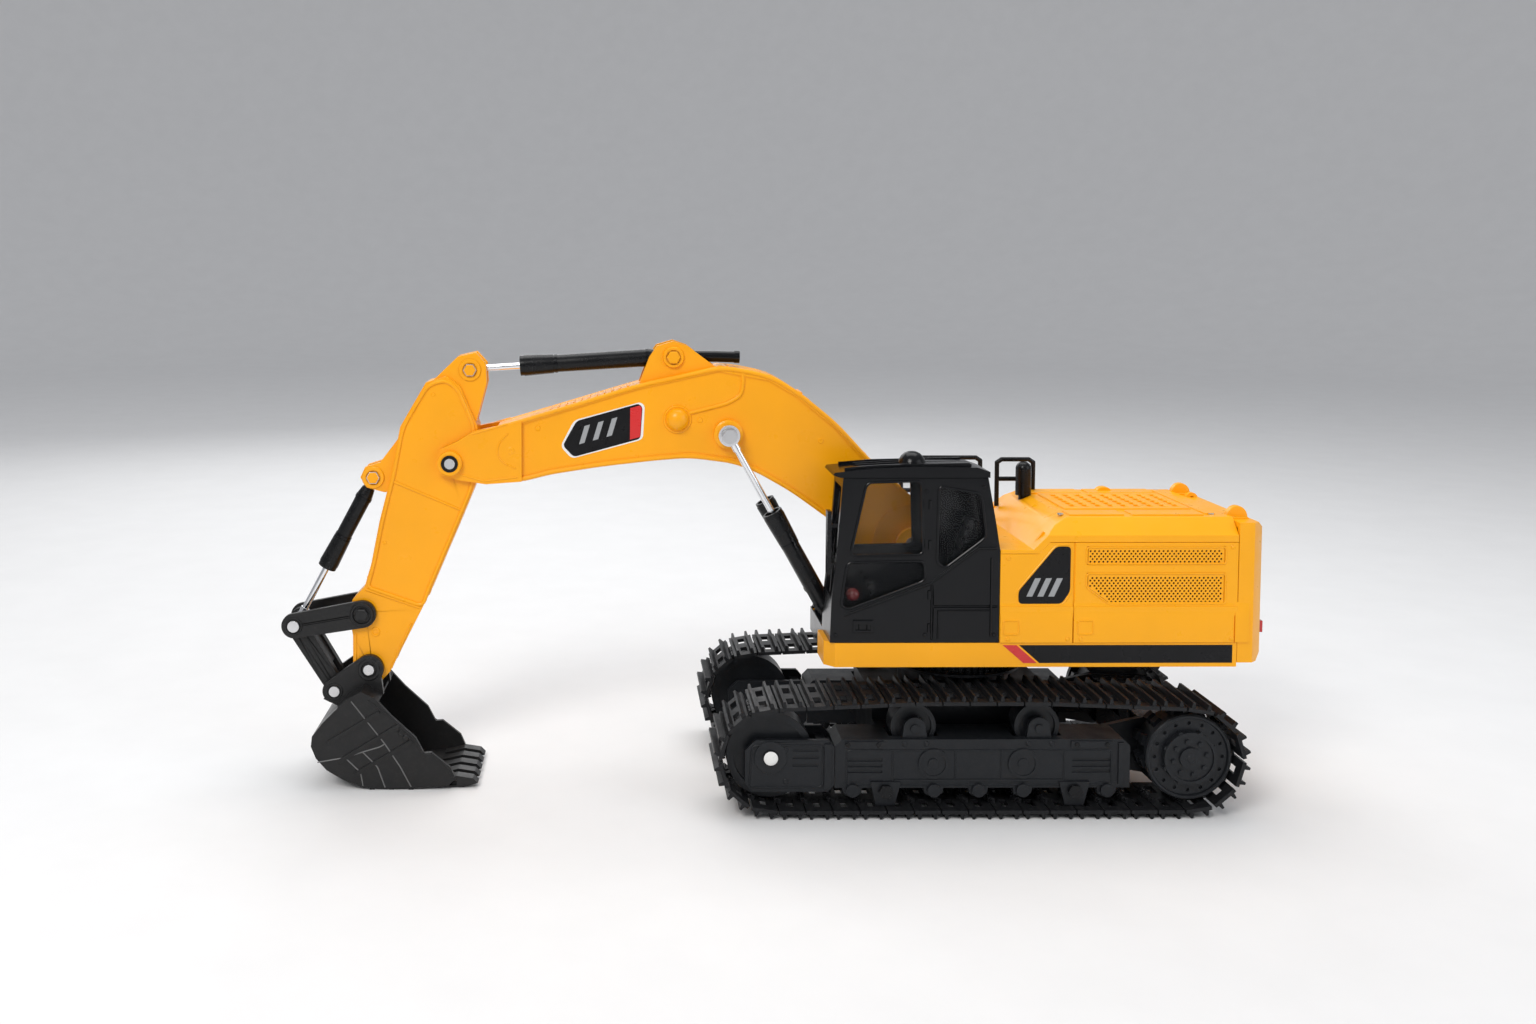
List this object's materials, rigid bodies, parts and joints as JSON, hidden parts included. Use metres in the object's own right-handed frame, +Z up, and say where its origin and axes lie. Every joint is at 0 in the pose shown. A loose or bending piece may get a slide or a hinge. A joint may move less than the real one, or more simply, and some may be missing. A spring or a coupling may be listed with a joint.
{
  "type": "radio-controlled toy excavator",
  "caption": "Tracked toy excavator with a slewing house, black cab, jointed boom, stick and toothed bucket, and bright piston rods.",
  "frame": {"origin": "centre of the overall footprint, on the surface the tracks stand on", "axes": "X along the tracks with the bucket at -X, Y across the machine with the cab at -Y, Z up"},
  "size_m": [0.5995, 0.152, 0.276],
  "materials": {
    "yellow_shell": "satin moulded yellow",
    "boom_yellow": "satin moulded orange-yellow",
    "black_shell": "glossy moulded black",
    "track_plastic": "matt moulded charcoal",
    "frame_plastic": "matt moulded charcoal",
    "bucket_plastic": "matt dark grey",
    "smoked_glass": "clear smoked plastic",
    "bright_rod": "bright chrome",
    "bolt_steel": "bright zinc",
    "black_trim": "matt black",
    "lamp_red": "clear red",
    "control_mix": "matt dark with red knob",
    "cell_wrap": "heat-shrunk film",
    "board_green": "solder mask",
    "motor_can": "plated steel",
    "gear_white": "acetal"
  },
  "bodies": {
    "undercarriage": {"chassis_frame": "frame_plastic", "track_frame_left": "frame_plastic", "track_frame_right": "frame_plastic", "slew_ring_gear": "black_trim", "idler_yokes": "frame_plastic", "track_shoes_left": "track_plastic", "track_shoes_right": "track_plastic", "track_pins": "black_trim", "bottom_rollers": "frame_plastic", "drive_motors": "black_trim", "chassis_screws": "black_trim"},
    "house": {"turntable_deck": "yellow_shell", "slew_motor": "motor_can", "engine_cover": "yellow_shell", "side_cover_left": "yellow_shell", "side_cover_right": "yellow_shell", "counterweight": "yellow_shell", "lamp_lenses": "lamp_red", "cab_shell": "black_shell", "cab_roof": "black_shell", "cab_glazing": "smoked_glass", "cab_seat": "black_trim", "cab_controls": "control_mix", "cab_mirror": "black_trim", "tank_cover": "yellow_shell", "handrails": "black_trim", "exhaust_stack": "black_trim", "battery_pack": "cell_wrap", "circuit_board": "board_green", "house_fasteners": "bolt_steel"},
    "pinion": {"slew_pinion": "gear_white"},
    "boom": {"boom_shell_left": "boom_yellow", "boom_shell_right": "boom_yellow", "boom_gearbox": "black_trim", "boom_bolts": "bolt_steel"},
    "stick": {"stick_shell_left": "boom_yellow", "stick_shell_right": "boom_yellow", "stick_bolts": "bolt_steel"},
    "bucket": {"bucket": "bucket_plastic", "bucket_teeth": "bucket_plastic", "bucket_bolts": "bolt_steel"},
    "levers": {"bucket_levers": "bucket_plastic", "lever_pin": "bolt_steel"},
    "link": {"bucket_link": "bucket_plastic"},
    "boom_cylinder_barrels": {"boom_barrels": "black_trim"},
    "boom_cylinder_rods": {"boom_rods": "bright_rod"},
    "stick_cylinder_barrel": {"stick_barrel": "black_trim"},
    "stick_cylinder_rod": {"stick_rod": "bright_rod"},
    "bucket_cylinder_barrel": {"bucket_barrel": "black_trim"},
    "bucket_cylinder_rod": {"bucket_rod": "bright_rod"},
    "drive_left": {"sprocket_left": "frame_plastic", "final_drive_cover_left": "frame_plastic"},
    "idler_wheel_left": {"idler_left": "frame_plastic"},
    "carrier_front_left": {"carrier_roller_front_left": "frame_plastic"},
    "carrier_rear_left": {"carrier_roller_rear_left": "frame_plastic"},
    "drive_right": {"sprocket_right": "frame_plastic", "final_drive_cover_right": "frame_plastic"},
    "idler_wheel_right": {"idler_right": "frame_plastic"},
    "carrier_front_right": {"carrier_roller_front_right": "frame_plastic"},
    "carrier_rear_right": {"carrier_roller_rear_right": "frame_plastic"}
  },
  "joints": [
    {"name": "slew", "type": "hinge", "parent": "undercarriage", "child": "house", "pos_m": [0.122, 0, 0.079], "axis": [0, 0, 1], "continuous": true},
    {"name": "slew_pinion_spin", "type": "hinge", "parent": "house", "child": "pinion", "pos_m": [0.1684, 0, 0.079], "axis": [0, 0, 1], "continuous": true},
    {"name": "boom_lift", "type": "hinge", "parent": "house", "child": "boom", "pos_m": [0.0935, 0, 0.1495], "axis": [0, 1, 0], "range_deg": [-15, 22]},
    {"name": "stick_swing", "type": "hinge", "parent": "boom", "child": "stick", "pos_m": [-0.1944, 0, 0.2005], "axis": [0, 1, 0], "range_deg": [-17, 14]},
    {"name": "bucket_curl", "type": "hinge", "parent": "stick", "child": "bucket", "pos_m": [-0.2459, 0, 0.0707], "axis": [0, 1, 0], "range_deg": [-20, 50]},
    {"name": "lever_swing", "type": "hinge", "parent": "stick", "child": "levers", "pos_m": [-0.25, 0, 0.1054], "axis": [0, 1, 0], "range_deg": [-14, 34]},
    {"name": "link_swing", "type": "hinge", "parent": "bucket", "child": "link", "pos_m": [-0.2676, 0, 0.057], "axis": [0, 1, 0], "range_deg": [-42, 18]},
    {"name": "bucket_barrel_swing", "type": "hinge", "parent": "stick", "child": "bucket_cylinder_barrel", "pos_m": [-0.2433, 0, 0.1905], "axis": [0, 1, 0], "range_deg": [-4, 8]},
    {"name": "bucket_rod_swing", "type": "hinge", "parent": "levers", "child": "bucket_cylinder_rod", "pos_m": [-0.2927, 0, 0.0981], "axis": [0, 1, 0], "range_deg": [-27, 12]},
    {"name": "stick_barrel_swing", "type": "hinge", "parent": "boom", "child": "stick_cylinder_barrel", "pos_m": [-0.0557, 0, 0.266], "axis": [0, 1, 0], "range_deg": [-3, 3]},
    {"name": "stick_rod_swing", "type": "hinge", "parent": "stick", "child": "stick_cylinder_rod", "pos_m": [-0.1824, 0, 0.258], "axis": [0, 1, 0], "range_deg": [-17, 20]},
    {"name": "boom_barrels_swing", "type": "hinge", "parent": "house", "child": "boom_cylinder_barrels", "pos_m": [0.044, 0, 0.101], "axis": [0, 1, 0], "range_deg": [-14, 20]},
    {"name": "boom_rods_swing", "type": "hinge", "parent": "boom", "child": "boom_cylinder_rods", "pos_m": [-0.0218, 0, 0.2185], "axis": [0, 1, 0], "range_deg": [-5, 4]},
    {"name": "track_drive_left", "type": "hinge", "parent": "undercarriage", "child": "drive_left", "pos_m": [0.245, -0.055, 0.0348], "axis": [0, 1, 0], "continuous": true},
    {"name": "idler_spin_left", "type": "hinge", "parent": "undercarriage", "child": "idler_wheel_left", "pos_m": [-0.001, -0.055, 0.0348], "axis": [0, 1, 0], "continuous": true},
    {"name": "carrier_spin_front_left", "type": "hinge", "parent": "undercarriage", "child": "carrier_front_left", "pos_m": [0.0845, -0.055, 0.0506], "axis": [0, 1, 0], "continuous": true},
    {"name": "carrier_spin_rear_left", "type": "hinge", "parent": "undercarriage", "child": "carrier_rear_left", "pos_m": [0.158, -0.055, 0.0506], "axis": [0, 1, 0], "continuous": true},
    {"name": "track_drive_right", "type": "hinge", "parent": "undercarriage", "child": "drive_right", "pos_m": [0.245, 0.055, 0.0348], "axis": [0, 1, 0], "continuous": true},
    {"name": "idler_spin_right", "type": "hinge", "parent": "undercarriage", "child": "idler_wheel_right", "pos_m": [-0.001, 0.055, 0.0348], "axis": [0, 1, 0], "continuous": true},
    {"name": "carrier_spin_front_right", "type": "hinge", "parent": "undercarriage", "child": "carrier_front_right", "pos_m": [0.0845, 0.055, 0.0506], "axis": [0, 1, 0], "continuous": true},
    {"name": "carrier_spin_rear_right", "type": "hinge", "parent": "undercarriage", "child": "carrier_rear_right", "pos_m": [0.158, 0.055, 0.0506], "axis": [0, 1, 0], "continuous": true}
  ],
  "couplings": [
    {"joint": "slew_pinion_spin", "follows": "slew", "ratio": 6},
    {"joint": "lever_swing", "follows": "bucket_curl", "ratio": 0.66},
    {"joint": "link_swing", "follows": "bucket_curl", "ratio": -0.815},
    {"joint": "bucket_barrel_swing", "follows": "bucket_curl", "ratio": 0.142},
    {"joint": "bucket_rod_swing", "follows": "bucket_curl", "ratio": -0.518},
    {"joint": "stick_barrel_swing", "follows": "stick_swing", "ratio": -0.107},
    {"joint": "stick_rod_swing", "follows": "stick_swing", "ratio": -1.107},
    {"joint": "boom_barrels_swing", "follows": "boom_lift", "ratio": 0.846},
    {"joint": "boom_rods_swing", "follows": "boom_lift", "ratio": -0.154},
    {"joint": "idler_spin_left", "follows": "track_drive_left", "ratio": 1},
    {"joint": "carrier_spin_front_left", "follows": "track_drive_left", "ratio": 1.85},
    {"joint": "carrier_spin_rear_left", "follows": "track_drive_left", "ratio": 1.85},
    {"joint": "idler_spin_right", "follows": "track_drive_right", "ratio": 1},
    {"joint": "carrier_spin_front_right", "follows": "track_drive_right", "ratio": 1.85},
    {"joint": "carrier_spin_rear_right", "follows": "track_drive_right", "ratio": 1.85}
  ]
}
